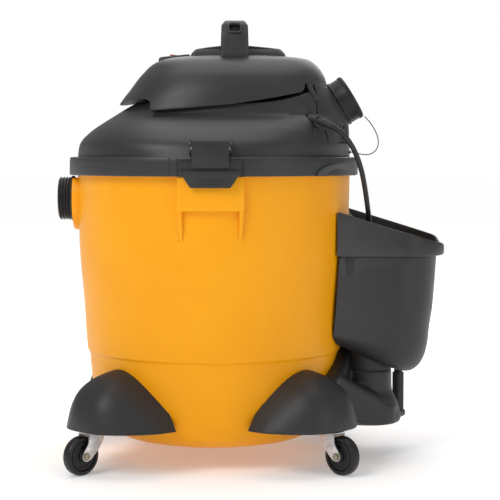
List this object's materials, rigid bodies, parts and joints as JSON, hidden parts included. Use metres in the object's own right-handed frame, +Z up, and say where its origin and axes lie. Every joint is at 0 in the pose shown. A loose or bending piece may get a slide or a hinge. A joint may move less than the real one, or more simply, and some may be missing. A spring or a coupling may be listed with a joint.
{
  "type": "wet and dry drum vacuum",
  "caption": "Wet and dry drum vacuum: yellow tank on swivel casters, dark lift-off power head with latches, exhaust cap and cord, and a tool basket on a rear pedestal.",
  "frame": {"origin": "on the floor, under the middle of the box around the whole vacuum", "axes": "+Z up, -X the way the hose inlet faces, +X towards the tool basket, latches on -Y and +Y"},
  "size_m": [0.6136, 0.472, 0.69],
  "materials": {
    "tank_yellow": "moulded polyethylene, satin, with a faint orange peel",
    "head_charcoal": "moulded polypropylene with fine spark-eroded grain",
    "foot_charcoal": "moulded polypropylene, slightly scuffed",
    "port_black": "moulded black plastic with thread ridges",
    "basket_charcoal": "moulded polypropylene, satin",
    "latch_black": "moulded black plastic, satin",
    "seal_rubber": "soft black foam rubber",
    "zinc_plate": "zinc-plated pressed steel, dull",
    "bolt_steel": "plated steel fastener",
    "wheel_black": "hard black wheel plastic with a rubber-like tread",
    "rocker_red": "glossy red rocker",
    "cord_black": "black vinyl cord jacket",
    "motor_steel": "pressed motor steel",
    "lamination": "stacked steel laminations",
    "copper_winding": "varnished copper winding",
    "carbon": "pressed carbon brush",
    "brass_holder": "pressed brass brush holder",
    "fan_aluminium": "pressed aluminium impeller",
    "float_white": "blow-moulded natural polyethylene",
    "filter_paper": "pleated filter paper",
    "knob_red": "moulded red retainer"
  },
  "bodies": {
    "base": {"tank": "tank_yellow", "inlet_port": "port_black", "inlet_gasket": "seal_rubber", "inlet_nut": "port_black", "inlet_deflector": "port_black", "front_foot_left": "foot_charcoal", "front_foot_right": "foot_charcoal", "rear_dolly": "foot_charcoal", "wand_post": "foot_charcoal", "foot_screws": "bolt_steel", "tool_basket": "basket_charcoal", "caster_stems": "zinc_plate", "cord_coil": "cord_black", "plug": "cord_black"},
    "head": {"lid_base": "head_charcoal", "lid_gasket": "seal_rubber", "motor_cover": "head_charcoal", "carry_handle": "head_charcoal", "handle_insert": "port_black", "switch_panel": "latch_black", "cover_screws": "bolt_steel", "latch_pins": "bolt_steel", "exhaust_port": "port_black", "cap_tether": "cord_black", "cord_gland": "cord_black", "cord_lead": "cord_black", "blower_housing": "head_charcoal", "blower_gasket": "seal_rubber", "motor_frame": "motor_steel", "motor_stator": "lamination", "motor_bearings": "bolt_steel", "brush_holders": "brass_holder", "carbon_brushes": "carbon", "filter_cage": "port_black", "filter_pleats": "filter_paper", "filter_end_caps": "seal_rubber", "filter_retainer": "knob_red"},
    "rotor": {"impeller": "fan_aluminium", "motor_shaft": "bolt_steel", "armature": "copper_winding", "cooling_fan": "port_black"},
    "float": {"float_ball": "float_white"},
    "rocker": {"switch_rocker": "rocker_red"},
    "latch_left": {"latch_left": "latch_black"},
    "latch_right": {"latch_right": "latch_black"},
    "exhaust_cap": {"exhaust_cap": "port_black"},
    "swivel_front_left": {"caster_fork_front_left": "zinc_plate", "caster_axle_front_left": "bolt_steel"},
    "wheel_front_left": {"caster_wheel_front_left": "wheel_black"},
    "swivel_front_right": {"caster_fork_front_right": "zinc_plate", "caster_axle_front_right": "bolt_steel"},
    "wheel_front_right": {"caster_wheel_front_right": "wheel_black"},
    "swivel_rear_left": {"caster_fork_rear_left": "zinc_plate", "caster_axle_rear_left": "bolt_steel"},
    "wheel_rear_left": {"caster_wheel_rear_left": "wheel_black"},
    "swivel_rear_right": {"caster_fork_rear_right": "zinc_plate", "caster_axle_rear_right": "bolt_steel"},
    "wheel_rear_right": {"caster_wheel_rear_right": "wheel_black"}
  },
  "joints": [
    {"name": "head_lift", "type": "slide", "parent": "base", "child": "head", "axis": [0, 0, 1], "range_m": [0, 0.26]},
    {"name": "motor_spin", "type": "hinge", "parent": "head", "child": "rotor", "pos_m": [-0.0592, 0, 0.55], "axis": [0, 0, 1], "continuous": true},
    {"name": "float_rise", "type": "slide", "parent": "head", "child": "float", "axis": [0, 0, 1], "range_m": [0, 0.05]},
    {"name": "power_rocker", "type": "hinge", "parent": "head", "child": "rocker", "pos_m": [-0.1182, 0, 0.631], "axis": [0, 1, 0], "range_deg": [-8, 8]},
    {"name": "latch_left_swing", "type": "hinge", "parent": "head", "child": "latch_left", "pos_m": [-0.0592, -0.227, 0.49], "axis": [-1, 0, 0], "range_deg": [0, 60]},
    {"name": "latch_right_swing", "type": "hinge", "parent": "head", "child": "latch_right", "pos_m": [-0.0592, 0.227, 0.49], "axis": [1, 0, 0], "range_deg": [0, 60]},
    {"name": "cap_pull", "type": "slide", "parent": "head", "child": "exhaust_cap", "axis": [0.8572, 0, 0.515], "range_m": [0, 0.04]},
    {"name": "swivel_front_left", "type": "hinge", "parent": "base", "child": "swivel_front_left", "pos_m": [-0.2402, -0.167, 0.063], "axis": [0, 0, 1], "continuous": true},
    {"name": "roll_front_left", "type": "hinge", "parent": "swivel_front_left", "child": "wheel_front_left", "pos_m": [-0.25576, -0.18256, 0.0296], "axis": [0.7071, -0.7071, 0], "continuous": true},
    {"name": "swivel_front_right", "type": "hinge", "parent": "base", "child": "swivel_front_right", "pos_m": [-0.2402, 0.167, 0.063], "axis": [0, 0, 1], "continuous": true},
    {"name": "roll_front_right", "type": "hinge", "parent": "swivel_front_right", "child": "wheel_front_right", "pos_m": [-0.25576, 0.18256, 0.0296], "axis": [-0.7071, -0.7071, 0], "continuous": true},
    {"name": "swivel_rear_left", "type": "hinge", "parent": "base", "child": "swivel_rear_left", "pos_m": [0.1218, -0.167, 0.063], "axis": [0, 0, 1], "continuous": true},
    {"name": "roll_rear_left", "type": "hinge", "parent": "swivel_rear_left", "child": "wheel_rear_left", "pos_m": [0.13736, -0.18256, 0.0296], "axis": [0.7071, 0.7071, 0], "continuous": true},
    {"name": "swivel_rear_right", "type": "hinge", "parent": "base", "child": "swivel_rear_right", "pos_m": [0.1218, 0.167, 0.063], "axis": [0, 0, 1], "continuous": true},
    {"name": "roll_rear_right", "type": "hinge", "parent": "swivel_rear_right", "child": "wheel_rear_right", "pos_m": [0.13736, 0.18256, 0.0296], "axis": [-0.7071, 0.7071, 0], "continuous": true}
  ]
}
